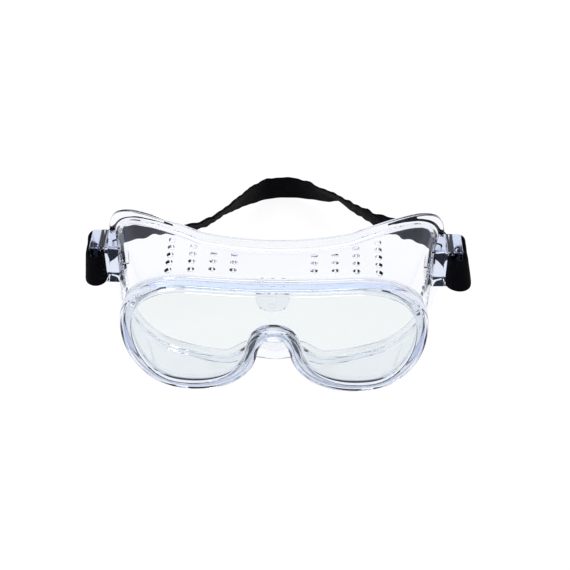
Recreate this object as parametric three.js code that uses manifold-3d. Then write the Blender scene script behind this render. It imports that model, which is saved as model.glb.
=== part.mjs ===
// Safety goggles: a clear, flexible PVC frame moulded in one, a clear lens in the frame's groove,
// and a black elastic headband whose two ends wrap round the bars of the frame's side lugs.
//
// Millimetres. +X is the right-hand side seen from in front, +Y runs back towards the wearer and
// +Z is up. The goggles stand on a table on the frame's lower edges, with the loop of the headband
// behind them. The origin is on the table, in the middle of the whole object.

import * as THREE from 'three';
import { mergeVertices } from 'three/addons/utils/BufferGeometryUtils.js';
import Module from 'manifold-3d';

const wasm = await Module();
wasm.setup();

// ---------------------------------------------------------------- driving dimensions

const rimHalfWidth = 79;
const rimHeight = 82.4;
const rimBand = 6.4; // width of the front lip, seen face on
const rimFront = 3.2; // front of the lip, ahead of the middle of the lens
const rimBack = -4.0; // back of the rim, behind the middle of the lens
const forwardLean = 5 * Math.PI / 180; // the lens's top edge leans forward
const lensBendRadius = 330; // the lens is bent round an upright cylinder

const lensThickness = 2.1;
const fitGap = 0.3; // between two pieces that fit together
const grooveDepth = 4.2; // how far the lens's edge sits inside the rim
const lensInset = rimBand - grooveDepth + fitGap;

const faceHalfWidth = 89.6; // widest point of the face flange
const faceHeight = 79.3; // highest point of the face flange
const flangeWidth = 8;
const flangeThickness = 2;
const wallThickness = 1.8;
const wallAtRim = 1.6; // how far inside the rim's edge the wall starts
const wallAtFace = 3.4; // how far inside the flange's edge the wall ends
const wallStart = rimBack - 0.6;

const tabHalfWidth = 8;
const tabDrop = 15.5; // how far down from the top of the rim the tab reaches

const tableLevel = 0.56; // the lowest edges are trimmed flat here, to stand on

const ventRadius = 1.5;
const sideVentRadius = 1.15;

const lugInner = 80.6; // inside the wall, where the lug is trimmed away
const channelInner = 90.4;
const channelOuter = 94;
const lugOuter = 98.6;
const lugFront = 43.6;
const lugBack = 60;
const lugBottom = 37.4;
const lugTop = 61.4;
const lugBridge = 2; // plates that close the channel above and below

const bandWidth = 19;
const bandThickness = 1.4;
const bandAtLug = (lugBottom + lugTop) / 2;
const bandClearance = 0.25; // between the band and the channel's walls
const innerLayer = channelInner + bandClearance + bandThickness / 2;
const outerLayer = channelOuter - bandClearance - bandThickness / 2;
// Middle of the outermost stretch of the loop round each lug's bar, and how far its top leans in.
const rightLoop = { reach: 102.3, lean: 12 };
const leftLoop = { reach: 100.8, lean: 6 };

// ---------------------------------------------------------------- materials

const clearVinyl = new THREE.MeshStandardMaterial({
  color: 0xdfe6f3,
  roughness: 0.12,
  metalness: 0,
  transparent: true,
  opacity: 0.45,
  side: THREE.DoubleSide,
});
const clearLens = new THREE.MeshStandardMaterial({
  color: 0xeef3f6,
  roughness: 0.03,
  metalness: 0,
  transparent: true,
  opacity: 0.25,
  side: THREE.DoubleSide,
});
const blackElastic = new THREE.MeshStandardMaterial({ color: 0x0c0d12, roughness: 0.85, metalness: 0 });

// ---------------------------------------------------------------- solids

function closedGeometry(points, triangles) {
  const geometry = new THREE.BufferGeometry();
  const position = new Float32Array(points.flatMap((point) => [point.x, point.y, point.z]));
  geometry.setAttribute('position', new THREE.BufferAttribute(position, 3));
  geometry.setIndex(triangles);
  return geometry;
}

// Skins rings of equal length into one closed solid. A closed loop of rings needs no end caps.
function skin(rings, loops) {
  const sides = rings[0].length;
  const triangles = [];
  const steps = loops ? rings.length : rings.length - 1;
  for (let step = 0; step < steps; step += 1) {
    const here = step * sides;
    const next = ((step + 1) % rings.length) * sides;
    for (let side = 0; side < sides; side += 1) {
      const other = (side + 1) % sides;
      triangles.push(here + side, here + other, next + other);
      triangles.push(here + side, next + other, next + side);
    }
  }
  if (!loops) {
    const last = (rings.length - 1) * sides;
    for (let side = 1; side < sides - 1; side += 1) {
      triangles.push(0, side + 1, side);
      triangles.push(last, last + side, last + side + 1);
    }
  }
  return closedGeometry(rings.flat(), triangles);
}

function toSolid(geometry) {
  const bare = geometry.clone();
  bare.deleteAttribute('normal');
  bare.deleteAttribute('uv');
  const merged = mergeVertices(bare, 1e-4);
  const vertProperties = new Float32Array(merged.attributes.position.array);
  const triVerts = new Uint32Array(merged.index.array);
  const solid = new wasm.Manifold(new wasm.Mesh({ numProp: 3, vertProperties, triVerts }));
  if (solid.volume() > 0) return solid;
  // The rings ran the other way round, so every triangle is turned over.
  for (let corner = 0; corner < triVerts.length; corner += 3) {
    [triVerts[corner], triVerts[corner + 1]] = [triVerts[corner + 1], triVerts[corner]];
  }
  return new wasm.Manifold(new wasm.Mesh({ numProp: 3, vertProperties, triVerts }));
}

function toGeometry(solid) {
  const mesh = solid.getMesh();
  const geometry = new THREE.BufferGeometry();
  geometry.setAttribute('position', new THREE.BufferAttribute(new Float32Array(mesh.vertProperties), 3));
  geometry.setIndex(Array.from(mesh.triVerts));
  geometry.computeVertexNormals();
  return geometry;
}

function block(low, high) {
  const size = new THREE.Vector3().subVectors(high, low);
  const middle = new THREE.Vector3().addVectors(low, high).multiplyScalar(0.5);
  return toSolid(new THREE.BoxGeometry(size.x, size.y, size.z).translate(middle.x, middle.y, middle.z));
}

// ---------------------------------------------------------------- the two outlines

// Each outline is half of a mirrored loop, in five stretches from the top middle to the nose.
// The two outlines have the same number of steps in each stretch, so a wall can join them.
const stretchSteps = [6, 10, 10, 10, 7];

function halfOutline(stretches) {
  const points = [];
  stretches.forEach((corners, stretch) => {
    const [from, fromHandle, toHandle, to] = corners.map(([across, up]) => new THREE.Vector2(across, up));
    const curve = new THREE.CubicBezierCurve(from, fromHandle, toHandle, to);
    for (let step = 0; step < stretchSteps[stretch]; step += 1) {
      points.push(curve.getPoint(step / stretchSteps[stretch]));
    }
  });
  points.push(new THREE.Vector2(...stretches.at(-1).at(-1)));
  return points;
}

function mirroredLoop(half) {
  const left = half.slice(1, -1).reverse().map((point) => new THREE.Vector2(-point.x, point.y));
  return [...half, ...left];
}

// Outer edge of the rim, in the plane of the lens: across, and up from the bottom of the lobes.
const rimOutline = mirroredLoop(halfOutline([
  [[0, rimHeight], [13, rimHeight], [26, rimHeight], [38, rimHeight - 0.4]],
  [[38, rimHeight - 0.4], [63, rimHeight - 1.2], [rimHalfWidth, 66], [rimHalfWidth, 40]],
  [[rimHalfWidth, 40], [rimHalfWidth, 18], [68, 0], [50, 0]],
  [[50, 0], [26, 0], [11, 14], [8.2, 32]],
  [[8.2, 32], [7, 39.4], [4.5, 44.2], [0, 44.2]],
]));

// Outer edge of the face flange, seen from in front: across, and up from the table.
const faceOutline = mirroredLoop(halfOutline([
  [[0, faceHeight - 3], [13, faceHeight - 3], [26, faceHeight - 3], [38, faceHeight - 2.6]],
  [[38, faceHeight - 2.6], [58, faceHeight + 1.6], [91, faceHeight + 4.6], [faceHalfWidth, 60]],
  [[faceHalfWidth, 60], [90.4, 36], [93, 3], [56, 0]],
  [[56, 0], [45, 0], [34, 0], [26, 1]],
  [[26, 1], [15, 2.5], [10, 17], [0, 17]],
]));

// Unit vectors that point into the loop from each of its points.
function inwardNormals(loop) {
  return loop.map((point, index) => {
    const before = loop[(index + loop.length - 1) % loop.length];
    const after = loop[(index + 1) % loop.length];
    const along = new THREE.Vector2().subVectors(after, before).normalize();
    return new THREE.Vector2(along.y, -along.x);
  });
}

const rimInward = inwardNormals(rimOutline);
const faceInward = inwardNormals(faceOutline);

// A point of the lens's bent sheet, or ahead of it by `forward`.
function onLens(across, up, forward) {
  const ahead = forward - across * across / (2 * lensBendRadius);
  return new THREE.Vector3(
    across,
    -up * Math.sin(forwardLean) - ahead * Math.cos(forwardLean),
    up * Math.cos(forwardLean) - ahead * Math.sin(forwardLean),
  );
}

// How far back a face reaches: it curves back to the temples and the forehead, and the nose juts out.
function faceDepth(across, up) {
  const nose = 15 * Math.exp(-((across / 12) ** 2) - ((up - 12) / 30) ** 2);
  return 20 + 0.19 * up + 0.0037 * across * across - nose;
}

function rimPoint(station, inward, forward) {
  const edge = rimOutline[station].clone().addScaledVector(rimInward[station], inward);
  return onLens(edge.x, edge.y, forward);
}

function facePoint(station, inward, forward) {
  const edge = faceOutline[station].clone().addScaledVector(faceInward[station], inward);
  return new THREE.Vector3(edge.x, faceDepth(edge.x, edge.y) - forward, edge.y);
}

// ---------------------------------------------------------------- frame

// One section of the frame, from the lens groove, round the front lip, back along the wall to the
// face flange and forward again inside the wall.
function frameSection(station) {
  const halfGroove = lensThickness / 2 + fitGap;
  const grooveFloor = rimBand - grooveDepth;
  const wallOutside = rimPoint(station, wallAtRim, wallStart);
  const wallInside = rimPoint(station, wallAtRim + wallThickness, wallStart);
  const flangeOutside = facePoint(station, wallAtFace, flangeThickness);
  const flangeInside = facePoint(station, wallAtFace + wallThickness, flangeThickness);
  return [
    rimPoint(station, rimBand - 0.6, rimFront),
    rimPoint(station, 1, rimFront),
    rimPoint(station, 0, rimFront - 1),
    rimPoint(station, 0, rimBack),
    wallOutside,
    wallOutside.clone().lerp(flangeOutside, 0.5),
    flangeOutside,
    facePoint(station, 0.5, flangeThickness),
    facePoint(station, 0, flangeThickness / 2),
    facePoint(station, 0.5, 0),
    facePoint(station, flangeWidth, 0),
    facePoint(station, flangeWidth, 1),
    flangeInside,
    wallInside.clone().lerp(flangeInside, 0.5),
    wallInside,
    rimPoint(station, rimBand, rimBack),
    rimPoint(station, rimBand, -halfGroove),
    rimPoint(station, grooveFloor, -halfGroove),
    rimPoint(station, grooveFloor, halfGroove),
    rimPoint(station, rimBand, halfGroove),
    rimPoint(station, rimBand, rimFront - 0.6),
  ];
}

function frameShell() {
  return toSolid(skin(rimOutline.map((point, station) => frameSection(station)), true));
}

// A side lug: a plate on the frame's wall and a bar outside it, joined above and below the channel
// that the headband is threaded through. side is 1 on the right and -1 on the left.
function lug(side) {
  const corner = (x, y, z) => new THREE.Vector3(x, y, z);
  const solids = [
    block(corner(lugInner, lugFront, lugBottom), corner(channelInner, lugBack, lugTop)),
    block(corner(channelOuter, lugFront, lugBottom), corner(lugOuter, lugBack, lugTop)),
    block(corner(lugInner, lugFront, lugTop - lugBridge), corner(lugOuter, lugBack, lugTop)),
    block(corner(lugInner, lugFront, lugBottom), corner(lugOuter, lugBack, lugBottom + lugBridge)),
  ];
  const joined = solids.reduce((sum, solid) => sum.add(solid));
  return side > 0 ? joined : joined.mirror([1, 0, 0]);
}

// The space just inside one side wall, which trims away the part of a lug that would reach into it.
function insideWall(side) {
  const rings = [];
  for (let step = 10; step <= 22; step += 1) {
    const station = side > 0 ? step : rimOutline.length - step;
    const front = rimPoint(station, wallAtRim + wallThickness / 2, wallStart);
    const back = facePoint(station, wallAtFace + wallThickness / 2, -4);
    const inward = new THREE.Vector3(-20 * side, 0, 0);
    rings.push([front, back, back.clone().add(inward), front.clone().add(inward)]);
  }
  return toSolid(skin(rings, false));
}

// The tab that hangs from the middle of the top rim, over the face of the lens.
function lensTab() {
  const shape = new THREE.Shape();
  const top = rimHeight - rimBand / 2;
  const bottom = rimHeight - tabDrop;
  const shoulder = bottom + 6.5;
  shape.moveTo(-tabHalfWidth, top);
  shape.lineTo(-tabHalfWidth, shoulder);
  shape.bezierCurveTo(-tabHalfWidth + 1, bottom + 1.5, -3.5, bottom, 0, bottom);
  shape.bezierCurveTo(3.5, bottom, tabHalfWidth - 1, bottom + 1.5, tabHalfWidth, shoulder);
  shape.lineTo(tabHalfWidth, top);
  const behind = lensThickness / 2 + 2 * fitGap;
  const depth = rimFront - behind;
  const geometry = new THREE.ExtrudeGeometry(shape, { depth, bevelEnabled: false, curveSegments: 5 });
  const place = geometry.attributes.position;
  for (let corner = 0; corner < place.count; corner += 1) {
    const point = onLens(place.getX(corner), place.getY(corner), behind + place.getZ(corner));
    place.setXYZ(corner, point.x, point.y, point.z);
  }
  return toSolid(geometry);
}

// A drill that passes square through a wall at a point, along a direction.
function drill(point, direction, radius) {
  const rod = new THREE.CylinderGeometry(radius, radius, 12, 8);
  const turn = new THREE.Quaternion().setFromUnitVectors(new THREE.Vector3(0, 1, 0), direction);
  rod.applyQuaternion(turn);
  rod.translate(point.x, point.y, point.z);
  return toSolid(rod);
}

// A point part of the way back along the outside of the wall, and the wall's outward direction there.
function onWall(station, share) {
  const at = (index, part) => {
    const wrapped = (index + rimOutline.length) % rimOutline.length;
    const front = rimPoint(wrapped, wallAtRim, wallStart);
    return front.lerp(facePoint(wrapped, wallAtFace, flangeThickness), part);
  };
  const low = Math.floor(station);
  const point = at(low, share).lerp(at(low + 1, share), station - low);
  const along = new THREE.Vector3().subVectors(at(low + 1, share), at(low, share));
  const back = new THREE.Vector3().subVectors(at(low, 1), at(low, 0));
  return { point, outward: back.cross(along).normalize() };
}

// The station, counted in fractions, where the top wall is `across` from the middle.
function topStation(across) {
  const first = rimOutline.findIndex((point) => point.x > Math.abs(across));
  const low = rimOutline[first - 1].x;
  const station = first - 1 + (Math.abs(across) - low) / (rimOutline[first].x - low);
  return across > 0 ? station : rimOutline.length - station;
}

// The station that is this many stretches round the outline from the top middle.
function stationAt(stretches) {
  const whole = Math.floor(stretches);
  const before = stretchSteps.slice(0, whole).reduce((sum, steps) => sum + steps, 0);
  return before + (stretches - whole) * stretchSteps[whole];
}

// On the top wall, columns of vents run straight back. first is from the rim to the first vent.
const ventColumns = [
  { across: 20, first: 8.8, pitch: 8.2, rows: 3 },
  { across: 30.4, first: 8.2, pitch: 8.2, rows: 3 },
  { across: 40.9, first: 6.4, pitch: 7.7, rows: 4 },
  { across: 52.6, first: 5, pitch: 6.6, rows: 5 },
];
// On each side wall, columns of vents run back and a little down. from and to are counted in stretches
// of the outline.
const sideVentColumns = [
  { from: 1.73, to: 1.87 },
  { from: 1.91, to: 2.05 },
];
const sideVentRows = 8;
const sideVentShares = [0.09, 0.68]; // how far back the first and last rows are

function vents() {
  const drills = [];
  for (const side of [-1, 1]) {
    for (const { across, first, pitch, rows } of ventColumns) {
      const station = topStation(side * across);
      const depth = onWall(station, 1).point.distanceTo(onWall(station, 0).point);
      for (let row = 0; row < rows; row += 1) {
        const { point, outward } = onWall(station, (first + row * pitch) / depth);
        drills.push(drill(point, outward, ventRadius));
      }
    }
    for (const { from, to } of sideVentColumns) {
      for (let row = 0; row < sideVentRows; row += 1) {
        const part = row / (sideVentRows - 1);
        const station = stationAt(THREE.MathUtils.lerp(from, to, part));
        const share = THREE.MathUtils.lerp(...sideVentShares, part);
        const { point, outward } = onWall(side > 0 ? station : rimOutline.length - station, share);
        drills.push(drill(point, outward, sideVentRadius));
      }
    }
  }
  return drills;
}

function frame() {
  const shell = frameShell();
  const lugs = [1, -1].map((side) => lug(side).subtract(insideWall(side)));
  let body = lugs.reduce((sum, solid) => sum.add(solid), shell).add(lensTab());
  body = vents().reduce((left, rod) => left.subtract(rod), body);
  const underTable = block(new THREE.Vector3(-200, -200, -20), new THREE.Vector3(200, 200, tableLevel));
  return toGeometry(body.subtract(underTable));
}

// ---------------------------------------------------------------- lens

// The lens is a bent sheet, cut out by a straight-sided prism of its outline.
function lens() {
  const margin = 2; // how far the sheet passes the outline before it is cut
  const columns = 16;
  const sheet = [];
  for (let column = 0; column <= columns; column += 1) {
    const across = (2 * column / columns - 1) * (rimHalfWidth + 1);
    sheet.push([
      onLens(across, -margin, lensThickness / 2),
      onLens(across, rimHeight + margin, lensThickness / 2),
      onLens(across, rimHeight + margin, -lensThickness / 2),
      onLens(across, -margin, -lensThickness / 2),
    ]);
  }
  const edge = rimOutline.map((point, station) => (
    point.clone().addScaledVector(rimInward[station], lensInset)
  ));
  const prism = new THREE.ExtrudeGeometry(new THREE.Shape(edge), { depth: 40, bevelEnabled: false });
  prism.translate(0, 0, -25);
  prism.rotateX(Math.PI / 2 + forwardLean);
  return toGeometry(toSolid(skin(sheet, false)).intersect(toSolid(prism)));
}

// ---------------------------------------------------------------- headband

// A flat band along a curve. leanAt gives, for a share of the curve, how far the band's top edge
// leans towards the inside of the loop, in degrees.
function band(curve, steps, leanAt, from = 0, to = 1) {
  const rings = [];
  for (let step = 0; step <= steps; step += 1) {
    const share = from + (to - from) * step / steps;
    const point = curve.getPointAt(share);
    const along = curve.getTangentAt(share);
    const outward = new THREE.Vector3().crossVectors(along, new THREE.Vector3(0, 0, 1)).normalize();
    const lean = THREE.MathUtils.degToRad(leanAt(share));
    const across = new THREE.Vector3(0, 0, Math.cos(lean)).addScaledVector(outward, -Math.sin(lean));
    across.addScaledVector(along, -across.dot(along)).normalize();
    const through = new THREE.Vector3().crossVectors(along, across).normalize();
    const corner = (up, out) => point.clone()
      .addScaledVector(across, up * bandWidth / 2)
      .addScaledVector(through, out * bandThickness / 2);
    rings.push([corner(1, 1), corner(1, -1), corner(-1, -1), corner(-1, 1)]);
  }
  return toGeometry(toSolid(skin(rings, false)));
}

// The end of the band: forward through the channel, round the lug's bar in a loose loop, and back
// into the channel, where its tail is held between the bar and the layer it entered by.
function bandEnd(side, { reach, lean }) {
  const at = (x, y) => new THREE.Vector3(side * x, y, bandAtLug);
  const bend = (...corners) => new THREE.CubicBezierCurve3(...corners.map(([x, y]) => at(x, y)));
  const route = new THREE.CurvePath();
  route.add(new THREE.LineCurve3(at(innerLayer, lugBack + 0.4), at(innerLayer, lugFront)));
  route.add(bend([innerLayer, lugFront], [innerLayer, 37], [reach, 36.5], [reach, 44.5]));
  route.add(bend([reach, 44.5], [reach, 50], [101, 57], [99.9, 60.3]));
  route.add(bend([99.9, 60.3], [99, 62.9], [outerLayer, 63.4], [outerLayer, lugBack]));
  route.add(new THREE.LineCurve3(at(outerLayer, lugBack), at(outerLayer, lugFront + 3)));
  const leanAt = (share) => {
    const rise = THREE.MathUtils.smoothstep(share, 0.26, 0.42);
    const fall = THREE.MathUtils.smoothstep(share, 0.52, 0.68);
    return side * lean * (rise - fall);
  };
  return band(route, 56, leanAt);
}

// Middle line of the free run of the band, from the right lug round the back to the left lug, with
// the lean of its top edge towards the inside. Hand-laid: the band hangs from the lugs and its lower
// edge rests on the table at the back.
const freeRun = [
  { at: [innerLayer, lugBack + 0.8, bandAtLug], lean: 0 },
  { at: [90.2, 65.5, bandAtLug], lean: 5 },
  { at: [81, 73, 49], lean: 14 },
  { at: [67, 82, 46.6], lean: 23 },
  { at: [55.5, 94, 43], lean: 30 },
  { at: [47, 109, 37.6], lean: 35 },
  { at: [38.5, 125, 31.8], lean: 36 },
  { at: [29.5, 141, 26.4], lean: 46 },
  { at: [20, 159, 15.4], lean: 25 },
  { at: [5.5, 168.87, 10.53], lean: 13 },
  { at: [-9, 166.4, 10.73], lean: 13 },
  { at: [-20, 148.5, 18.6], lean: 24 },
  { at: [-28.5, 124, 29.6], lean: 34 },
  { at: [-36.5, 103, 37], lean: 37 },
  { at: [-47, 87, 43], lean: 45 },
  { at: [-63, 77, 47], lean: 41 },
  { at: [-80, 72, 49], lean: 24 },
  { at: [-90.2, 65.5, bandAtLug], lean: 8 },
  { at: [-innerLayer, lugBack + 0.8, bandAtLug], lean: 0 },
];
const freeKnots = freeRun.map((knot) => new THREE.Vector3(...knot.at));
const freeCurve = new THREE.CatmullRomCurve3(freeKnots, false, 'centripetal');
freeCurve.arcLengthDivisions = 800;

function knotShare(knot) {
  const lengths = freeCurve.getLengths();
  const index = Math.round(knot / (freeRun.length - 1) * freeCurve.arcLengthDivisions);
  return lengths[index] / lengths.at(-1);
}
const knotShares = freeRun.map((knot, index) => knotShare(index));

function freeLean(share) {
  const after = Math.max(1, knotShares.findIndex((value) => value >= share - 1e-9));
  const part = THREE.MathUtils.smoothstep(share, knotShares[after - 1], knotShares[after]);
  return THREE.MathUtils.lerp(freeRun[after - 1].lean, freeRun[after].lean, part);
}

// The free run is one band. It is divided where the swinging sides meet the stretching back.
const splitGap = fitGap / freeCurve.getLength();
const rightSplit = knotShares[4];
const leftSplit = knotShares.at(-5);

function bandSide(from, to) {
  return band(freeCurve, 12, freeLean, from, to);
}

function bandBack() {
  return band(freeCurve, 44, freeLean, rightSplit + splitGap / 2, leftSplit - splitGap / 2);
}

// ---------------------------------------------------------------- assembly

function named(name, geometry, material) {
  const mesh = new THREE.Mesh(geometry, material);
  mesh.name = name;
  return mesh;
}

const goggles = new THREE.Group();
goggles.add(
  named('frame', frame(), clearVinyl),
  named('lens', lens(), clearLens),
  named('headband_end_right', bandEnd(1, rightLoop), blackElastic),
  named('headband_end_left', bandEnd(-1, leftLoop), blackElastic),
  named('headband_side_right', bandSide(0, rightSplit - splitGap / 2), blackElastic),
  named('headband_back', bandBack(), blackElastic),
  named('headband_side_left', bandSide(leftSplit + splitGap / 2, 1), blackElastic),
);

const extent = new THREE.Box3().setFromObject(goggles);
const middle = extent.getCenter(new THREE.Vector3());
goggles.position.set(0, -middle.y, -extent.min.z);
goggles.updateMatrixWorld(true);

export default goggles;
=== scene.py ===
"""Safety goggles: a clear moulded frame, a clear bent lens and a black elastic headband.

Lengths are worked out in millimetres in the design frame of the goggles: +X right, +Y back, +Z up,
with the table near z 0 and the middle of the rim's back near y 0. place() turns them into metres in
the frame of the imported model.
"""

import math

import bmesh
import bpy
import numpy as np
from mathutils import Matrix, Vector


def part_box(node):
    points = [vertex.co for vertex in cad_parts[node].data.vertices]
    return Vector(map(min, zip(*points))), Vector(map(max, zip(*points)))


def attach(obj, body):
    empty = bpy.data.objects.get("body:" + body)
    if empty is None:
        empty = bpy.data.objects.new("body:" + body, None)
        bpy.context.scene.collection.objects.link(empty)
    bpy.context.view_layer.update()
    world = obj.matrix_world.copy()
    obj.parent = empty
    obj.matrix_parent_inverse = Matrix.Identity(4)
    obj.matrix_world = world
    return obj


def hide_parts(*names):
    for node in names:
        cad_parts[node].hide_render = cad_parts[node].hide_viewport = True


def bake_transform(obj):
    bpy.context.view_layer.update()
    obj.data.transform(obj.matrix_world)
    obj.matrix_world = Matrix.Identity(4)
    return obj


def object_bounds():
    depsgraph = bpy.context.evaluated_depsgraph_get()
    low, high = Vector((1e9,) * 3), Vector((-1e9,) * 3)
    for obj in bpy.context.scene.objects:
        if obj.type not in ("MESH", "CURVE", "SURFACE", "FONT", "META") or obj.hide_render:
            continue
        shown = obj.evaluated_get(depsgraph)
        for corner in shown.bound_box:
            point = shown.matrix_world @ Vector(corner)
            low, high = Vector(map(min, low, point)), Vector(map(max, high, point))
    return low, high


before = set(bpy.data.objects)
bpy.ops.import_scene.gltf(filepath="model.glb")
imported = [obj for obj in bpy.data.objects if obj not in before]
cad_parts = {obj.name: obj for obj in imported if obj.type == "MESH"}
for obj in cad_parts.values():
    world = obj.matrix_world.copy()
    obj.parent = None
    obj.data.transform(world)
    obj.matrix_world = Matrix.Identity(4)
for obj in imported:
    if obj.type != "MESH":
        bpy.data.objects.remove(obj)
cad_box = [list(corner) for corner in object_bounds()]

# ---------------------------------------------------------------- driving dimensions, millimetres

RIM_HALF_WIDTH = 79.0
RIM_HEIGHT = 82.4
RIM_BAND = 6.4
RIM_FRONT = 3.2
RIM_BACK = -4.0
LIP_CHAMFER = 1.0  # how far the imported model's front lip has its corner cut back
FORWARD_LEAN = math.radians(5)
LENS_BEND_RADIUS = 330.0

LENS_THICKNESS = 2.1
FIT_GAP = 0.3
GROOVE_DEPTH = 4.2
LENS_INSET = RIM_BAND - GROOVE_DEPTH + FIT_GAP

FACE_HALF_WIDTH = 89.6
FACE_HEIGHT = 79.3
FLANGE_WIDTH = 8.0
FLANGE_THICKNESS = 2.0
WALL_THICKNESS = 1.8
WALL_AT_RIM = 1.6
WALL_AT_FACE = 3.4
WALL_START = RIM_BACK - 0.6

TAB_HALF_WIDTH = 8.0
TAB_DROP = 15.5
TAB_SHOULDER = 6.5  # how far above its lowest point the tab's sides start to curve in
TAB_AHEAD = 0.9  # how far ahead of the rim's front the tab's face is
STUD_AHEAD = 1.9  # how far ahead of the rim's front the stud's face is
STUD_DROP = 9.6  # how far down from the top of the rim the middle of the stud is
STUD_RADIUS = 2.3
RIM_MARKS = (-5.2, 0.0, 5.2)  # how far across each low rib on the rim above the tab is
RIM_MARK_HALF_WIDTH = 0.9

VENT_RADIUS = 1.35
VENT_MOUTH = 1.85
SIDE_VENT_RADIUS = 1.05
SIDE_VENT_MOUTH = 1.35

LUG_INNER = 80.6
CHANNEL_INNER = 90.4
CHANNEL_OUTER = 94.0
LUG_OUTER = 98.6
LUG_FRONT = 43.6
LUG_BACK = 60.0
LUG_BOTTOM = 37.4
LUG_TOP = 61.4
LUG_BRIDGE = 2.0
LUG_ROUNDING = 0.9
CHANNEL_ROUNDING = 0.4
CHANNEL_OVERRUN = 6.0  # the tool that cuts a channel runs this far past both ends

BAND_WIDTH = 19.0
BAND_THICKNESS = 1.4
BAND_AT_LUG = (LUG_BOTTOM + LUG_TOP) / 2
BAND_CLEARANCE = 0.25
INNER_LAYER = CHANNEL_INNER + BAND_CLEARANCE + BAND_THICKNESS / 2
OUTER_LAYER = CHANNEL_OUTER - BAND_CLEARANCE - BAND_THICKNESS / 2
# Middle of the outermost stretch of the loop round each lug's bar, and how far its top leans in,
# in degrees.
RIGHT_LOOP = (102.3, 12)
LEFT_LOOP = (100.8, 6)

TABLE_LEVEL = 0.56
BEYOND_ALL = 200.0  # further from the middle than any part of the frame

# Where the design frame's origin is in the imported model: found from the front of the rim's top and
# from the flat underside of the frame.
FRONT_OF_RIM = -(RIM_HEIGHT - LIP_CHAMFER) * math.sin(FORWARD_LEAN) - RIM_FRONT * math.cos(FORWARD_LEAN)
SHIFT = np.array([
    0.0,
    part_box("frame")[0].y * 1000 - FRONT_OF_RIM,
    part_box("frame")[0].z * 1000 - TABLE_LEVEL,
])


def place(points):
    """Design millimetres to metres in the model's frame."""
    return (np.asarray(points, float) + SHIFT) / 1000


# ---------------------------------------------------------------- meshes


def new_piece(name, points, faces):
    """An object whose points are given in design millimetres."""
    mesh = bpy.data.meshes.new(name)
    mesh.from_pydata(place(points).tolist(), [], faces)
    mesh.update()
    piece = bpy.data.objects.new(name, mesh)
    bpy.context.scene.collection.objects.link(piece)
    return piece


def face_outwards(piece):
    shape = bmesh.new()
    shape.from_mesh(piece.data)
    bmesh.ops.recalc_face_normals(shape, faces=shape.faces)
    shape.to_mesh(piece.data)
    shape.free()


def skin(name, rings, loops):
    """Joins rings of points, an array of rings by points by 3, into one closed surface."""
    count, sides = rings.shape[:2]
    faces = []
    for ring in range(count if loops else count - 1):
        here = ring * sides
        following = (ring + 1) % count * sides
        for side in range(sides):
            other = (side + 1) % sides
            faces.append((here + side, here + other, following + other, following + side))
    if not loops:
        faces.append(tuple(range(sides))[::-1])
        faces.append(tuple(range((count - 1) * sides, count * sides)))
    piece = new_piece(name, rings.reshape(-1, 3), faces)
    face_outwards(piece)
    return piece


def combine(piece, tool, operation):
    """Joins tool to piece, or cuts it away, and removes the tool."""
    step = piece.modifiers.new("combine", "BOOLEAN")
    step.operation = operation
    step.solver = "MANIFOLD"
    step.object = tool
    bpy.context.view_layer.update()
    made = bpy.data.meshes.new_from_object(piece.evaluated_get(bpy.context.evaluated_depsgraph_get()))
    piece.modifiers.clear()
    made.name = piece.name
    piece.data = made
    bpy.data.objects.remove(tool)
    return piece


def smooth(piece, angle):
    """Smooth shading, with edges sharper than an angle in degrees kept crisp."""
    piece.data.shade_smooth()
    piece.data.set_sharp_from_angle(angle=math.radians(angle))


def round_edges(piece, chosen, radius, segments):
    """Rounds the edges that chosen() picks, and turns every face outwards."""
    shape = bmesh.new()
    shape.from_mesh(piece.data)
    edges = [edge for edge in shape.edges if chosen(edge)]
    bmesh.ops.bevel(shape, geom=edges, offset=radius / 1000, segments=segments, profile=0.5, affect="EDGES")
    bmesh.ops.recalc_face_normals(shape, faces=shape.faces)
    shape.to_mesh(piece.data)
    shape.free()


def rounded_box(name, low, high, radius):
    """A box between two corners, with every edge rounded."""
    low, high = np.array(low, float), np.array(high, float)
    corners = [[(low, high)[i][0], (low, high)[j][1], (low, high)[k][2]]
               for i in (0, 1) for j in (0, 1) for k in (0, 1)]
    faces = [(0, 1, 3, 2), (4, 6, 7, 5), (0, 4, 5, 1), (2, 3, 7, 6), (0, 2, 6, 4), (1, 5, 7, 3)]
    piece = new_piece(name, corners, faces)
    round_edges(piece, lambda edge: True, radius, 4)
    return piece


def prism_faces(count):
    """The two ends and the sides of a prism, whose points are one end's and then the other's."""
    faces = [tuple(range(count)), tuple(range(count, 2 * count))]
    for index in range(count):
        following = (index + 1) % count
        faces.append((index, following, following + count, index + count))
    return faces


# ---------------------------------------------------------------- the two outlines

# How many points each of the five stretches of an outline's right half has.
STRETCH_STEPS = (22, 44, 44, 44, 30)


def bezier(corners, shares):
    """Points of a cubic curve through four corners, at shares of its length from 0 to 1."""
    a, b, c, d = (np.array(corner, float) for corner in corners)
    t = np.asarray(shares, float)[:, None]
    return a * (1 - t) ** 3 + 3 * b * t * (1 - t) ** 2 + 3 * c * t * t * (1 - t) + d * t ** 3


def mirrored_loop(stretches):
    """A closed outline from the stretches of its right half, from the top middle to the bottom."""
    half = []
    for corners, steps in zip(stretches, STRETCH_STEPS):
        half.append(bezier(corners, np.arange(steps) / steps))
    half = np.vstack([*half, [stretches[-1][-1]]])
    return np.vstack([half, half[1:-1][::-1] * (-1, 1)])


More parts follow.
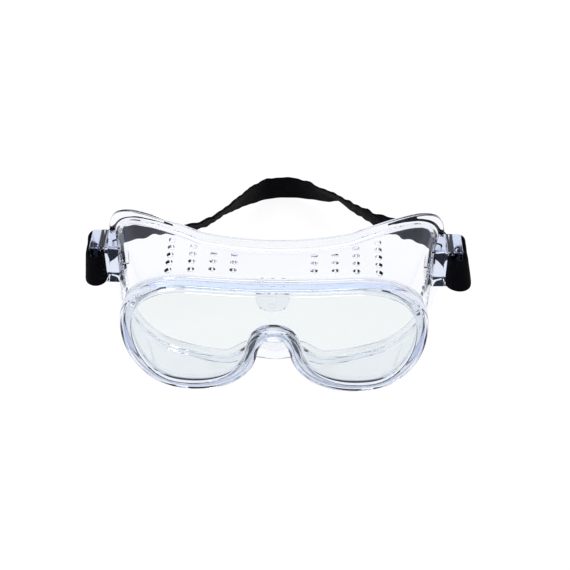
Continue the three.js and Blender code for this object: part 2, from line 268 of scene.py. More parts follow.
# Outer edge of the rim, in the plane of the lens: across, and up from the bottom of the lobes.
RIM_LOOP = mirrored_loop([
    [(0, RIM_HEIGHT), (13, RIM_HEIGHT), (26, RIM_HEIGHT), (38, RIM_HEIGHT - 0.4)],
    [(38, RIM_HEIGHT - 0.4), (63, RIM_HEIGHT - 1.2), (RIM_HALF_WIDTH, 66), (RIM_HALF_WIDTH, 40)],
    [(RIM_HALF_WIDTH, 40), (RIM_HALF_WIDTH, 18), (68, 0), (50, 0)],
    [(50, 0), (26, 0), (11, 14), (8.2, 32)],
    [(8.2, 32), (7, 39.4), (4.5, 44.2), (0, 44.2)],
])

# Outer edge of the face flange, seen from in front: across, and up from the table.
FACE_LOOP = mirrored_loop([
    [(0, FACE_HEIGHT - 3), (13, FACE_HEIGHT - 3), (26, FACE_HEIGHT - 3), (38, FACE_HEIGHT - 2.6)],
    [(38, FACE_HEIGHT - 2.6), (58, FACE_HEIGHT + 1.6), (91, FACE_HEIGHT + 4.6), (FACE_HALF_WIDTH, 60)],
    [(FACE_HALF_WIDTH, 60), (90.4, 36), (93, 3), (56, 0)],
    [(56, 0), (45, 0), (34, 0), (26, 1)],
    [(26, 1), (15, 2.5), (10, 17), (0, 17)],
])
STATIONS = len(RIM_LOOP)


def inward_normals(loop):
    along = np.roll(loop, -1, axis=0) - np.roll(loop, 1, axis=0)
    along /= np.linalg.norm(along, axis=1)[:, None]
    return np.stack([along[:, 1], -along[:, 0]], axis=1)


RIM_INWARD = inward_normals(RIM_LOOP)
FACE_INWARD = inward_normals(FACE_LOOP)


def on_lens(across, up, forward):
    """A point of the lens's bent sheet, or ahead of it by forward."""
    ahead = forward - np.square(across) / (2 * LENS_BEND_RADIUS)
    return np.stack([
        across,
        -up * math.sin(FORWARD_LEAN) - ahead * math.cos(FORWARD_LEAN),
        up * math.cos(FORWARD_LEAN) - ahead * math.sin(FORWARD_LEAN),
    ], axis=-1)


def face_depth(across, up):
    """How far back a face reaches: back to the temples and the forehead, and forward to the nose."""
    nose = 15 * np.exp(-np.square(across / 12) - np.square((up - 12) / 30))
    return 20 + 0.19 * up + 0.0037 * across * across - nose


def rim_points(inward, forward):
    edge = RIM_LOOP + RIM_INWARD * inward
    return on_lens(edge[:, 0], edge[:, 1], forward)


def face_points(inward, forward):
    edge = FACE_LOOP + FACE_INWARD * inward
    return np.stack([edge[:, 0], face_depth(edge[:, 0], edge[:, 1]) - forward, edge[:, 1]], axis=-1)


# ---------------------------------------------------------------- frame


def rounded_section(corners, steps):
    """Rounds each corner of the section at every station. corners is a list of (points, radius)."""
    points = [corner[0] for corner in corners]
    made = []
    for index, (corner, radius) in enumerate(corners):
        if radius == 0:
            made.append(corner)
            continue
        before = points[index - 1] - corner
        after = points[(index + 1) % len(points)] - corner
        before_length = np.linalg.norm(before, axis=1)[:, None]
        after_length = np.linalg.norm(after, axis=1)[:, None]
        # Two neighbouring corners never meet: each takes less than half of the side between them.
        cut = np.minimum(radius, 0.45 * np.minimum(before_length, after_length))
        start = corner + before / before_length * cut
        end = corner + after / after_length * cut
        for share in np.linspace(0, 1, steps + 1):
            made.append(start * (1 - share) ** 2 + 2 * corner * share * (1 - share) + end * share ** 2)
    return np.stack(made, axis=1)


def frame_shell():
    """The moulding without its lugs and tab: lens groove, front lip, wall and face flange."""
    half_groove = LENS_THICKNESS / 2 + FIT_GAP
    groove_floor = RIM_BAND - GROOVE_DEPTH
    wall_outside = rim_points(WALL_AT_RIM, WALL_START)
    wall_inside = rim_points(WALL_AT_RIM + WALL_THICKNESS, WALL_START)
    flange_outside = face_points(WALL_AT_FACE, FLANGE_THICKNESS)
    flange_inside = face_points(WALL_AT_FACE + WALL_THICKNESS, FLANGE_THICKNESS)
    wall_steps = np.linspace(0.12, 0.88, 6)
    # Each corner of the section, with its radius.
    corners = [
        (rim_points(RIM_BAND, RIM_FRONT), 1.3),
        (rim_points(0, RIM_FRONT), 2.2),
        (rim_points(0, RIM_BACK), 0.8),
        (wall_outside, 0.5),
        *[(wall_outside + (flange_outside - wall_outside) * share, 0) for share in wall_steps],
        (flange_outside, 2.2),
        (face_points(0, FLANGE_THICKNESS), 0.9),
        (face_points(0, 0), 0.9),
        (face_points(FLANGE_WIDTH, 0), 0.5),
        (face_points(FLANGE_WIDTH, 1), 0.3),
        (flange_inside, 0.5),
        *[(flange_inside + (wall_inside - flange_inside) * share, 0) for share in wall_steps],
        (wall_inside, 0.8),
        (rim_points(RIM_BAND, RIM_BACK), 0.8),
        (rim_points(RIM_BAND, -half_groove), 0.3),
        (rim_points(groove_floor, -half_groove), 0.3),
        (rim_points(groove_floor, half_groove), 0.3),
        (rim_points(RIM_BAND, half_groove), 0.3),
    ]
    return skin("frame_moulding", rounded_section(corners, 3), True)


def inside_wall(side):
    """The space just inside one side wall, which trims a lug."""
    clear_of_top_and_bottom = 12
    past_the_face = 4
    first = STRETCH_STEPS[0] + clear_of_top_and_bottom
    last = sum(STRETCH_STEPS[:3]) - clear_of_top_and_bottom
    stations = np.arange(first, last)
    if side < 0:
        stations = STATIONS - stations
    front = rim_points(WALL_AT_RIM + WALL_THICKNESS / 2, WALL_START)[stations]
    back = face_points(WALL_AT_FACE + WALL_THICKNESS / 2, -past_the_face)[stations]
    inward = np.array([-20.0 * side, 0, 0])
    return skin("inside", np.stack([front, back, back + inward, front + inward], axis=1), False)


def lug(side):
    """A rounded block outside the wall, with the channel that the headband is threaded through."""
    def across(low, high):
        return (low, high) if side > 0 else (-high, -low)

    low, high = across(LUG_INNER, LUG_OUTER)
    block = rounded_box("lug", (low, LUG_FRONT, LUG_BOTTOM), (high, LUG_BACK, LUG_TOP), LUG_ROUNDING)
    low, high = across(CHANNEL_INNER, CHANNEL_OUTER)
    channel = rounded_box("channel",
                          (low, LUG_FRONT - CHANNEL_OVERRUN, LUG_BOTTOM + LUG_BRIDGE),
                          (high, LUG_BACK + CHANNEL_OVERRUN, LUG_TOP - LUG_BRIDGE),
                          CHANNEL_ROUNDING)
    combine(block, channel, "DIFFERENCE")
    return combine(block, inside_wall(side), "DIFFERENCE")


def lens_prism(name, outline, back, front, bevel):
    """An outline in the plane of the lens, as a solid between two distances ahead of the lens."""
    def round_an_end(edge):
        return sum(len(face.verts) for face in edge.link_faces) > 8

    outline = np.asarray(outline, float)
    points = np.vstack([on_lens(outline[:, 0], outline[:, 1], forward) for forward in (back, front)])
    piece = new_piece(name, points, prism_faces(len(outline)))
    round_edges(piece, round_an_end, bevel, 3)
    return piece


def lens_tab():
    """The half-round tab that hangs over the lens from the middle of the top rim."""
    top = RIM_HEIGHT - RIM_BAND / 2
    bottom = RIM_HEIGHT - TAB_DROP
    shoulder = bottom + TAB_SHOULDER
    corners = [(TAB_HALF_WIDTH, shoulder), (TAB_HALF_WIDTH - 1, bottom + 1.5), (3.5, bottom), (0, bottom)]
    curve = bezier(corners, np.linspace(0, 1, 15))
    half = np.vstack([[(TAB_HALF_WIDTH, top)], curve])
    outline = np.vstack([half, half[:-1][::-1] * (-1, 1)])
    return lens_prism("tab", outline, LENS_THICKNESS / 2 + 2 * FIT_GAP, RIM_FRONT + TAB_AHEAD, 0.3)


def disc_outline(middle_up, radius):
    """A circle in the plane of the lens, in the middle across."""
    turns = np.arange(24) / 24 * math.tau
    return np.stack([radius * np.cos(turns), middle_up + radius * np.sin(turns)], axis=1)


def top_marks():
    """A plain round stud on the tab, and the low ribs on the rim above it."""
    disc = disc_outline(RIM_HEIGHT - STUD_DROP, STUD_RADIUS)
    stud = lens_prism("stud", disc, RIM_FRONT - 0.6, RIM_FRONT + STUD_AHEAD, 0.3)
    low, high = RIM_HEIGHT - 1.4, RIM_HEIGHT + 0.5
    for across in RIM_MARKS:
        left, right = across - RIM_MARK_HALF_WIDTH, across + RIM_MARK_HALF_WIDTH
        outline = [(left, low), (right, low), (right, high), (left, high)]
        combine(stud, lens_prism("rib", outline, RIM_BACK + 0.4, RIM_FRONT - 1.2, 0.25), "UNION")
    return stud


def on_wall(station, share):
    """A point part of the way back along the outside of the wall, and the outward direction there."""
    def at(index, part):
        index %= STATIONS
        front = rim_points(WALL_AT_RIM, WALL_START)[index]
        return front + (face_points(WALL_AT_FACE, FLANGE_THICKNESS)[index] - front) * part

    low = math.floor(station)
    point = at(low, share) + (at(low + 1, share) - at(low, share)) * (station - low)
    outward = np.cross(at(low, 1) - at(low, 0), at(low + 1, share) - at(low, share))
    return point, outward / np.linalg.norm(outward)


def top_station(across):
    """The station, counted in fractions, where the top wall is this far across."""
    first = int(np.argmax(RIM_LOOP[:, 0] > abs(across)))
    low = RIM_LOOP[first - 1, 0]
    station = first - 1 + (abs(across) - low) / (RIM_LOOP[first, 0] - low)
    return station if across > 0 else STATIONS - station


# On the top wall, columns of vents run straight back: (across, from the rim to the first, pitch, rows).
VENT_COLUMNS = ((20, 8.8, 8.2, 3), (30.4, 8.2, 8.2, 3), (40.9, 6.4, 7.7, 4), (52.6, 5, 6.6, 5))
# On each side wall, columns of vents run back and a little down: where they start and end, in
# stretches of the outline from the top middle.
SIDE_VENT_COLUMNS = ((1.73, 1.87), (1.91, 2.05))
SIDE_VENT_ROWS = 8
SIDE_VENT_SHARES = (0.09, 0.68)


def station_at(stretches):
    whole = int(stretches)
    return sum(STRETCH_STEPS[:whole]) + (stretches - whole) * STRETCH_STEPS[whole]


def vent_places():
    """Where each vent is: (point, outward direction, radius, radius of its mouth)."""
    places = []
    for side in (-1, 1):
        for across, first, pitch, rows in VENT_COLUMNS:
            station = top_station(side * across)
            depth = np.linalg.norm(on_wall(station, 1)[0] - on_wall(station, 0)[0])
            for row in range(rows):
                share = (first + row * pitch) / depth
                places.append((*on_wall(station, share), VENT_RADIUS, VENT_MOUTH))
        for start, end in SIDE_VENT_COLUMNS:
            for part in np.linspace(0, 1, SIDE_VENT_ROWS):
                station = station_at(start + (end - start) * part)
                share = SIDE_VENT_SHARES[0] + (SIDE_VENT_SHARES[1] - SIDE_VENT_SHARES[0]) * part
                station = station if side > 0 else STATIONS - station
                places.append((*on_wall(station, share), SIDE_VENT_RADIUS, SIDE_VENT_MOUTH))
    return places


def vents():
    """Drills with a flared mouth, all in one tool."""
    outside, inside = 3.0, -5.0  # how far a drill runs out of the wall and into it
    turns = np.arange(20) / 20 * math.tau
    points, faces = [], []
    for middle, outward, radius, mouth in vent_places():
        side = np.cross(outward, (0, 0, 1) if abs(outward[2]) < 0.9 else (1, 0, 0))
        side /= np.linalg.norm(side)
        other = np.cross(outward, side)
        flare = (mouth + 2 * radius) / 3
        profile = ((outside, mouth), (0.05, mouth), (-0.15, flare), (-0.5, radius), (inside, radius))
        first = len(points)
        for height, reach in profile:
            for turn in turns:
                round_it = side * math.cos(turn) + other * math.sin(turn)
                points.append(middle + outward * height + reach * round_it)
        sides = len(turns)
        for ring in range(len(profile) - 1):
            for step in range(sides):
                here = first + ring * sides + step
                following = first + ring * sides + (step + 1) % sides
                faces.append((here, following, following + sides, here + sides))
        faces.append(tuple(range(first, first + sides))[::-1])
        last = first + (len(profile) - 1) * sides
        faces.append(tuple(range(last, last + sides)))
    tool = new_piece("drills", points, faces)
    face_outwards(tool)
    return tool


def frame_moulding():
    """The whole frame, cut off flat where it stands on the table."""
    piece = frame_shell()
    for side in (1, -1):
        combine(piece, lug(side), "UNION")
    combine(piece, lens_tab(), "UNION")
    combine(piece, top_marks(), "UNION")
    combine(piece, vents(), "DIFFERENCE")
    under_table = rounded_box("under_table", (-BEYOND_ALL, -BEYOND_ALL, -20),
                              (BEYOND_ALL, BEYOND_ALL, TABLE_LEVEL), 0.1)
    combine(piece, under_table, "DIFFERENCE")
    smooth(piece, 38)
    return piece


def lens_sheet():
    """The lens: a bent sheet cut to the rim's outline, a little inside the groove's floor."""
    columns = np.linspace(-1, 1, 97) * (RIM_HALF_WIDTH + 1)
    half = LENS_THICKNESS / 2
    section = ((-2, half), (RIM_HEIGHT + 2, half), (RIM_HEIGHT + 2, -half), (-2, -half))
    edges = [on_lens(columns, np.full_like(columns, up), forward) for up, forward in section]
    sheet = skin("lens_sheet", np.stack(edges, axis=1), False)
    behind, ahead = -30.0, 12.0  # the straight cutter reaches past the bent sheet on both sides
    points = []
    for forward in (behind, ahead):
        for across, up in RIM_LOOP + RIM_INWARD * LENS_INSET:
            points.append((
                across,
                -up * math.sin(FORWARD_LEAN) - forward * math.cos(FORWARD_LEAN),
                up * math.cos(FORWARD_LEAN) - forward * math.sin(FORWARD_LEAN),
            ))
    prism = new_piece("outline", points, prism_faces(STATIONS))
    face_outwards(prism)
    combine(sheet, prism, "INTERSECT")
    smooth(sheet, 30)
    return sheet


# ---------------------------------------------------------------- headband

RIBS = 11
RIB_HEIGHT = 0.07
RIB_STEPS = 5
STEP_ALONG = 1.1
CRINKLE = 0.75  # how far the edges of the free run ripple
END_CRINKLE = 0.18  # how far the edges of the ends ripple, where they go round the lugs

# The free run, from the right lug round to the left: the middle of the band, and how many degrees
# its top leans in.
FREE_RUN = (
    ((INNER_LAYER, LUG_BACK + 0.8, BAND_AT_LUG), 0),
    ((90.2, 65.5, BAND_AT_LUG), 5),
    ((81, 73, 49), 14),
    ((67, 82, 46.6), 23),
    ((55.5, 94, 43), 30),
    ((47, 109, 37.6), 35),
    ((38.5, 125, 31.8), 36),
    ((29.5, 141, 26.4), 46),
    ((20, 159, 15.4), 25),
    ((5.5, 168.87, 10.53), 13),
    ((-9, 166.4, 10.73), 13),
    ((-20, 148.5, 18.6), 24),
    ((-28.5, 124, 29.6), 34),
    ((-36.5, 103, 37), 37),
    ((-47, 87, 43), 45),
    ((-63, 77, 47), 41),
    ((-80, 72, 49), 24),
    ((-90.2, 65.5, BAND_AT_LUG), 8),
    ((-INNER_LAYER, LUG_BACK + 0.8, BAND_AT_LUG), 0),
)
# The knots where the sides end and the back begins.
RIGHT_SPLIT = 4
LEFT_SPLIT = len(FREE_RUN) - 5
SPAN_STEPS = 40


def smooth_run(knots, steps):
    """A centripetal Catmull-Rom curve through the knots, with steps points to each span."""
    knots = np.array(knots, float)
    padded = np.vstack([2 * knots[0] - knots[1], knots, 2 * knots[-1] - knots[-2]])
    made = []
    for span in range(len(knots) - 1):
        a, b, c, d = padded[span:span + 4]
        first = np.linalg.norm(b - a) ** 0.5
        second = first + np.linalg.norm(c - b) ** 0.5
        third = second + np.linalg.norm(d - c) ** 0.5
        t = np.linspace(first, second, steps, endpoint=False)[:, None]
        ab = a * (first - t) / first + b * t / first
        bc = b * (second - t) / (second - first) + c * (t - first) / (second - first)
        cd = c * (third - t) / (third - second) + d * (t - second) / (third - second)
        abc = ab * (second - t) / second + bc * t / second
        bcd = bc * (third - t) / (third - first) + cd * (t - first) / (third - first)
        made.append(abc * (second - t) / (second - first) + bcd * (t - first) / (second - first))
    return np.vstack([*made, knots[-1:]])


def ease(value, low, high):
    """0 up to low and 1 from high on, with a smooth change between."""
    part = np.clip((value - low) / (high - low), 0, 1)
    return part * part * (3 - 2 * part)


def lengths_along(points):
    """How far along the line each point is."""
    steps = np.linalg.norm(np.diff(points, axis=0), axis=1)
    return np.concatenate([[0], np.cumsum(steps)])


def evenly(points, leans, low, high):
    """Points and leans spaced evenly along the line from one length to another."""
    along = lengths_along(points)
    count = max(2, round((high - low) / STEP_ALONG) + 1)
    at = np.linspace(low, high, count)
    line = np.stack([np.interp(at, along, points[:, axis]) for axis in range(3)], axis=1)
    return line, np.interp(at, along, leans), at


def ripple(along, across, crinkle):
    """How far the relaxed elastic stands off its middle line: mostly at its edges."""
    edge = np.abs(across / (BAND_WIDTH / 2)) ** 1.6
    phase = np.where(across > 0, 0.0, 1.9)  # the two edges ripple out of step
    short_wave = np.sin(along / 1.55 + phase)
    long_wave = np.sin(along / 2.7 + 2 * phase + 0.8)
    return crinkle * edge * (short_wave * 0.6 + long_wave * 0.4)


def band(name, line, leans, along, crinkle):
    """A flat ribbed band along a line. crinkle is how much it ripples, in mm, at each point."""
    tangent = np.gradient(line, axis=0)
    tangent /= np.linalg.norm(tangent, axis=1)[:, None]
    outward = np.cross(tangent, (0, 0, 1))
    outward /= np.linalg.norm(outward, axis=1)[:, None]
    lean = np.radians(leans)[:, None]
    up = np.array([0, 0, 1]) * np.cos(lean) - outward * np.sin(lean)
    up -= tangent * (up * tangent).sum(axis=1)[:, None]
    up /= np.linalg.norm(up, axis=1)[:, None]
    through = np.cross(tangent, up)

    across = np.linspace(-1, 1, RIBS * RIB_STEPS + 1) * BAND_WIDTH / 2
    half = BAND_THICKNESS / 2
    rib = -RIB_HEIGHT * (0.5 - 0.5 * np.cos((across / BAND_WIDTH + 0.5) * RIBS * math.tau))
    from_edge = (BAND_WIDTH / 2 - np.abs(across)) / half
    # The edges are rounded off to a fifth of the thickness.
    rounding = np.sqrt(np.clip(1 - (1 - np.clip(from_edge, 0, 1)) ** 2, 0.04, 1))
    face = (half + rib) * rounding
    section_across = np.concatenate([across, across[::-1]])
    section_through = np.concatenate([face, -face[::-1]])

    stand_off = ripple(along[:, None], section_across[None, :], np.asarray(crinkle)[:, None])
    rings = (line[:, None, :]
             + up[:, None, :] * section_across[None, :, None]
             + through[:, None, :] * (section_through[None, :] + stand_off)[:, :, None])
    piece = skin(name, rings, False)

    sides = len(section_across)
    layer = piece.data.uv_layers.new(name="along_across")
    for loop in piece.data.loops:
        ring, side = divmod(loop.vertex_index, sides)
        layer.data[loop.index].uv = (along[ring] / 10, section_across[side] / 10)
    piece.data.shade_smooth()
    return piece


def free_band_pieces():
    """The two sides and the back of the free run."""
    knots, knot_leans = zip(*FREE_RUN)
    points = smooth_run(knots, SPAN_STEPS)
    along = lengths_along(points)
    knot_lengths = along[::SPAN_STEPS]
    leans = []
    for low, high in zip(knot_leans, knot_leans[1:]):
        leans.append(low + (high - low) * ease(np.arange(SPAN_STEPS) / SPAN_STEPS, 0, 1))
    leans = np.concatenate([*leans, knot_leans[-1:]])
    total = along[-1]
    ranges = {
        "headband_side_right_weave": (0, knot_lengths[RIGHT_SPLIT]),
        "headband_back_weave": (knot_lengths[RIGHT_SPLIT], knot_lengths[LEFT_SPLIT]),
        "headband_side_left_weave": (knot_lengths[LEFT_SPLIT], total),
    }
    made = {}
    for name, (low, high) in ranges.items():
        line, line_leans, at = evenly(points, leans, low, high)
        from_lugs = np.minimum(at, total - at)
        # The ripples grow over the first 12 mm from a lug, and fade to a quarter round the back.
        crinkle = CRINKLE * np.clip(from_lugs / 12, 0, 1) * np.clip((110 - from_lugs) / 60, 0.25, 1)
        made[name] = band(name, line, line_leans, at, crinkle)
        made[name]["flat_length"] = (high - low) / 1000
    return made


def band_end(name, side, reach, lean):
    """The end of the band: through the channel, round the bar in a loose loop and back inside."""
    def turn(*corners):
        return bezier([(side * x, y, BAND_AT_LUG) for x, y in corners], np.linspace(0, 1, 40))

    route = np.vstack([
        [(side * INNER_LAYER, LUG_BACK + 0.8, BAND_AT_LUG)],
        turn((INNER_LAYER, LUG_FRONT), (INNER_LAYER, 37), (reach, 36.5), (reach, 44.5)),
        turn((reach, 44.5), (reach, 50), (101, 57), (99.9, 60.3))[1:],
        turn((99.9, 60.3), (99, 62.9), (OUTER_LAYER, 63.4), (OUTER_LAYER, LUG_BACK))[1:],
        [(side * OUTER_LAYER, LUG_FRONT + 3, BAND_AT_LUG)],
    ])
    along = lengths_along(route)
    total = along[-1]
    share = along / total
    # It leans only on the outermost stretch, and ripples only clear of the channel.
    leaning = side * lean * (ease(share, 0.26, 0.42) - ease(share, 0.52, 0.68))
    line, leans, at = evenly(route, leaning, 0, total)
    crinkle = END_CRINKLE * np.clip((at - 20) / 6, 0, 1) * np.clip((total - 20 - at) / 6, 0, 1)
    piece = band(name, line, leans, at, crinkle)
    piece["flat_length"] = total / 1000
    return piece


# ---------------------------------------------------------------- materials


def new_material(name):
    material = bpy.data.materials.new(name)
    material.use_nodes = True
    tree = material.node_tree
    tree.nodes.clear()
    return material, tree


def add_node(tree, kind, **settings):
    node = tree.nodes.new(kind)
    for key, value in settings.items():
        if hasattr(node, key):
            setattr(node, key, value)
    return node


def ground_edge(tree, clear):
    """The narrow cut edge of the lens is ground, so it is pale and matt instead of clear."""
    geometry = add_node(tree, "ShaderNodeNewGeometry")
    facing = add_node(tree, "ShaderNodeVectorMath", operation="DOT_PRODUCT")
    facing.inputs[1].default_value = (0, -math.cos(FORWARD_LEAN), -math.sin(FORWARD_LEAN))
    size = add_node(tree, "ShaderNodeMath", operation="ABSOLUTE")
    narrow = add_node(tree, "ShaderNodeMath", operation="LESS_THAN")
    narrow.inputs[1].default_value = 0.5
    ground = add_node(tree, "ShaderNodeBsdfDiffuse")
    ground.inputs["Color"].default_value = (0.50, 0.57, 0.74, 1)
    mix = add_node(tree, "ShaderNodeMixShader")
    tree.links.new(geometry.outputs["True Normal"], facing.inputs[0])
    tree.links.new(facing.outputs["Value"], size.inputs[0])
    tree.links.new(size.outputs["Value"], narrow.inputs[0])
    tree.links.new(narrow.outputs["Value"], mix.inputs["Fac"])
    tree.links.new(clear.outputs["Shader"], mix.inputs[1])
    tree.links.new(ground.outputs["BSDF"], mix.inputs[2])
    return mix


CLEAR_IOR = 1.5


def clear_plastic(name, tint, roughness, absorbed, density, grain, bump, edge_is_ground=False):
    """Clear plastic that lets lamps through. The absorbed light makes thick parts and edges darker."""
    material, tree = new_material(name)
    glass = add_node(tree, "ShaderNodeBsdfPrincipled")
    glass.inputs["Base Color"].default_value = (*tint, 1)
    glass.inputs["Transmission Weight"].default_value = 1
    glass.inputs["IOR"].default_value = CLEAR_IOR
    glass.inputs["Roughness"].default_value = roughness
    glass.inputs["Specular Tint"].default_value = (0.14, 0.18, 0.32, 1)
    coordinates = add_node(tree, "ShaderNodeTexCoord")
    noise = add_node(tree, "ShaderNodeTexNoise")
    noise.inputs["Scale"].default_value = grain
    noise.inputs["Detail"].default_value = 2
    height = add_node(tree, "ShaderNodeBump")
    height.inputs["Strength"].default_value = bump
    height.inputs["Distance"].default_value = 0.001
    tree.links.new(coordinates.outputs["Object"], noise.inputs["Vector"])
    tree.links.new(noise.outputs["Fac"], height.inputs["Height"])
    tree.links.new(height.outputs["Normal"], glass.inputs["Normal"])
    see_through = add_node(tree, "ShaderNodeBsdfTransparent")
    see_through.inputs["Color"].default_value = (0.97, 0.975, 0.98, 1)
    path = add_node(tree, "ShaderNodeLightPath")
    mix = add_node(tree, "ShaderNodeMixShader")
    tree.links.new(path.outputs["Is Shadow Ray"], mix.inputs["Fac"])
    tree.links.new(glass.outputs["BSDF"], mix.inputs[1])
    tree.links.new(see_through.outputs["BSDF"], mix.inputs[2])
    output = add_node(tree, "ShaderNodeOutputMaterial")
    if edge_is_ground:
        mix = ground_edge(tree, mix)
    tree.links.new(mix.outputs["Shader"], output.inputs["Surface"])
    if density:
        volume = add_node(tree, "ShaderNodeVolumeAbsorption")
        volume.inputs["Color"].default_value = (*absorbed, 1)
        volume.inputs["Density"].default_value = density
        tree.links.new(volume.outputs["Volume"], output.inputs["Volume"])
    return material


def woven_elastic(name):
    """Black ribbed elastic: fine cross threads between its lengthwise ribs, and a paler fuzz on top."""
    material, tree = new_material(name)
    cloth = add_node(tree, "ShaderNodeBsdfPrincipled")
    cloth.inputs["Specular IOR Level"].default_value = 0.02
    cloth.inputs["Sheen Weight"].default_value = 0.002
    cloth.inputs["Sheen Roughness"].default_value = 0.4
    place_on = add_node(tree, "ShaderNodeUVMap", uv_map="along_across")
    threads = add_node(tree, "ShaderNodeTexWave", bands_direction="X")
    threads.inputs["Scale"].default_value = 4.6
    threads.inputs["Distortion"].default_value = 1.2
    threads.inputs["Detail"].default_value = 1
    ribs = add_node(tree, "ShaderNodeTexWave", bands_direction="Y")
    ribs.inputs["Scale"].default_value = 5.8
    ribs.inputs["Distortion"].default_value = 0.4
    fuzz = add_node(tree, "ShaderNodeTexNoise")
    fuzz.inputs["Scale"].default_value = 26
    fuzz.inputs["Detail"].default_value = 4
    for pattern in (threads, ribs, fuzz):
        tree.links.new(place_on.outputs["UV"], pattern.inputs["Vector"])
    weave = add_node(tree, "ShaderNodeMath", operation="MULTIPLY")
    tree.links.new(threads.outputs["Fac"], weave.inputs[0])
    tree.links.new(ribs.outputs["Fac"], weave.inputs[1])
    both = add_node(tree, "ShaderNodeMath", operation="ADD")
    tree.links.new(weave.outputs["Value"], both.inputs[0])
    tree.links.new(fuzz.outputs["Fac"], both.inputs[1])
    colour = add_node(tree, "ShaderNodeValToRGB")
    colour.color_ramp.elements[0].position = 0.35
    colour.color_ramp.elements[0].color = (0.0004, 0.0004, 0.0008, 1)
    colour.color_ramp.elements[1].position = 0.8125
    colour.color_ramp.elements[1].color = (0.0026, 0.0027, 0.004, 1)
    tree.links.new(both.outputs["Value"], colour.inputs["Fac"])
    tree.links.new(colour.outputs["Color"], cloth.inputs["Base Color"])
    gloss = add_node(tree, "ShaderNodeMapRange")
    gloss.inputs["To Min"].default_value = 0.62
    gloss.inputs["To Max"].default_value = 0.86
    tree.links.new(fuzz.outputs["Fac"], gloss.inputs["Value"])
    tree.links.new(gloss.outputs["Result"], cloth.inputs["Roughness"])
    height = add_node(tree, "ShaderNodeBump")
    height.inputs["Strength"].default_value = 0.7
    height.inputs["Distance"].default_value = 0.0002
    tree.links.new(both.outputs["Value"], height.inputs["Height"])
    tree.links.new(height.outputs["Normal"], cloth.inputs["Normal"])
    output = add_node(tree, "ShaderNodeOutputMaterial")
    tree.links.new(cloth.outputs["BSDF"], output.inputs["Surface"])
    return material


def finish_piece(piece, material):
    piece.data.materials.clear()
    piece.data.materials.append(material)


# ---------------------------------------------------------------- camera, floor and light

CAMERA_DISTANCE = 600.0
CAMERA_ELEVATION = math.radians(41)
CAMERA_YAW = math.radians(1.179)
CAMERA_TARGET = np.array([5.39, 20.0, 57.95])
CAMERA_LENS = 74.04


def camera():
    direction = np.array([
        math.sin(CAMERA_YAW) * math.cos(CAMERA_ELEVATION),
        -math.cos(CAMERA_YAW) * math.cos(CAMERA_ELEVATION),
        math.sin(CAMERA_ELEVATION),
    ])
    data = bpy.data.cameras.new("camera")
    data.sensor_width = 36
    data.lens = CAMERA_LENS
    data.clip_start = 0.01
    made = bpy.data.objects.new("camera", data)
    made.location = place(CAMERA_TARGET + direction * CAMERA_DISTANCE)
    made.rotation_euler = Vector(-direction).to_track_quat("-Z", "Y").to_euler()
    bpy.context.scene.collection.objects.link(made)
    bpy.context.scene.camera = made


FLOOR_REACH = 20000.0
FLOOR_GAP = 0.00005  # in metres, so that the floor and the flat undersides don't share a plane
FLOOR_GLOW = 0.9  # a lit white table, so that shadows stay faint


def floor():
    reach = FLOOR_REACH
    corners = [(-reach, -reach, 0), (reach, -reach, 0), (reach, reach, 0), (-reach, reach, 0)]
    piece = new_piece("floor", corners, [(0, 1, 2, 3)])
    piece.location.z = -place((0, 0, 0))[2] + cad_box[0][2] - FLOOR_GAP
    material, tree = new_material("pale_floor")
    paint = add_node(tree, "ShaderNodeBsdfPrincipled")
    paint.inputs["Base Color"].default_value = (0.10, 0.10, 0.10, 1)
    paint.inputs["Roughness"].default_value = 1
    paint.inputs["Specular IOR Level"].default_value = 0
    paint.inputs["Emission Color"].default_value = (1, 1, 1, 1)
    paint.inputs["Emission Strength"].default_value = FLOOR_GLOW
    output = add_node(tree, "ShaderNodeOutputMaterial")
    tree.links.new(paint.outputs["BSDF"], output.inputs["Surface"])
    piece.data.materials.append(material)


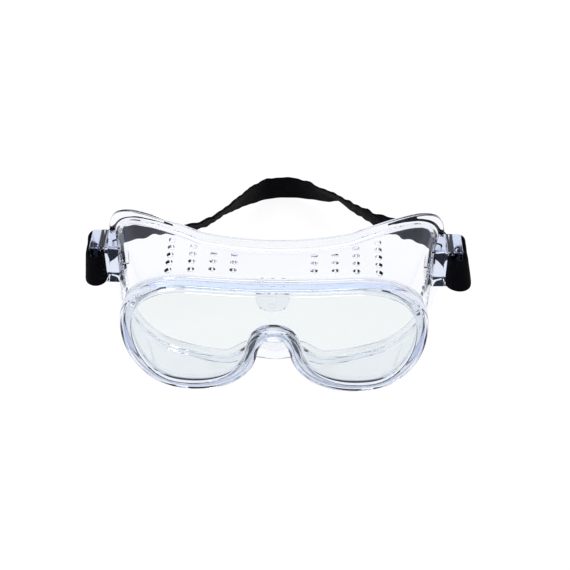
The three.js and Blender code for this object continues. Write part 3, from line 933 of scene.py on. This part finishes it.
def studio_world():
    """An even white sky over a darker, bluish band near the horizon, which draws the clear edges."""
    world = bpy.data.worlds.new("studio")
    world.use_nodes = True
    tree = world.node_tree
    tree.nodes.clear()
    coordinates = add_node(tree, "ShaderNodeTexCoord")
    split = add_node(tree, "ShaderNodeSeparateXYZ")
    ramp = add_node(tree, "ShaderNodeValToRGB")
    ramp.color_ramp.elements[0].position = 0.0
    ramp.color_ramp.elements[0].color = (0.40, 0.48, 0.74, 1)
    ramp.color_ramp.elements[1].position = 0.28
    ramp.color_ramp.elements[1].color = (1, 1, 1, 1)
    middle = ramp.color_ramp.elements.new(0.1)
    middle.color = (0.68, 0.74, 0.88, 1)
    sky = add_node(tree, "ShaderNodeBackground")
    sky.inputs["Strength"].default_value = 1.12
    output = add_node(tree, "ShaderNodeOutputWorld")
    tree.links.new(coordinates.outputs["Generated"], split.inputs["Vector"])
    tree.links.new(split.outputs["Z"], ramp.inputs["Fac"])
    tree.links.new(ramp.outputs["Color"], sky.inputs["Color"])
    tree.links.new(sky.outputs["Background"], output.inputs["Surface"])
    bpy.context.scene.world = world


def area_light(name, at, towards, size, watts):
    data = bpy.data.lights.new(name, "AREA")
    data.shape = "SQUARE"
    data.size = size / 1000
    data.energy = watts
    lamp = bpy.data.objects.new(name, data)
    lamp.location = place(at)
    lamp.rotation_euler = Vector(np.subtract(towards, at)).to_track_quat("-Z", "Y").to_euler()
    bpy.context.scene.collection.objects.link(lamp)


# ---------------------------------------------------------------- assembly

camera()
floor()
studio_world()
area_light("overhead", at=(0, 60, 900), towards=(0, 60, 0), size=700, watts=3.0)
area_light("left_key", at=(-600, -250, 520), towards=(0, 60, 40), size=260, watts=1.6)

scene = bpy.context.scene
scene.view_settings.view_transform = "Standard"
# Light crosses many clear layers before it leaves the goggles.
scene.cycles.max_bounces = 64
scene.cycles.transmission_bounces = 64
scene.cycles.transparent_max_bounces = 24

vinyl = clear_plastic("clear_vinyl_moulding", tint=(0.945, 0.95, 0.968), roughness=0.02,
                      absorbed=(0.52, 0.61, 0.85), density=30, grain=60, bump=0.05)
polished = clear_plastic("clear_lens_polished", tint=(0.85, 0.885, 0.885), roughness=0.0,
                         absorbed=(0.5, 0.5, 0.5), density=0, grain=8, bump=0.0,
                         edge_is_ground=True)
elastic = woven_elastic("black_woven_elastic")

moulding = frame_moulding()
finish_piece(moulding, vinyl)
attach(moulding, "frame")
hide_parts("frame")

lens = lens_sheet()
finish_piece(lens, polished)
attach(lens, "frame")
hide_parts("lens")

for node, side, loop in (("headband_end_right", 1, RIGHT_LOOP), ("headband_end_left", -1, LEFT_LOOP)):
    piece = band_end(f"{node}_weave", side, *loop)
    finish_piece(piece, elastic)
    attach(piece, "frame")
    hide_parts(node)

for name, piece in free_band_pieces().items():
    finish_piece(piece, elastic)
    if name == "headband_back_weave":
        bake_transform(piece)
    else:
        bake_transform(piece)
    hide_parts(name.replace("_weave", ""))
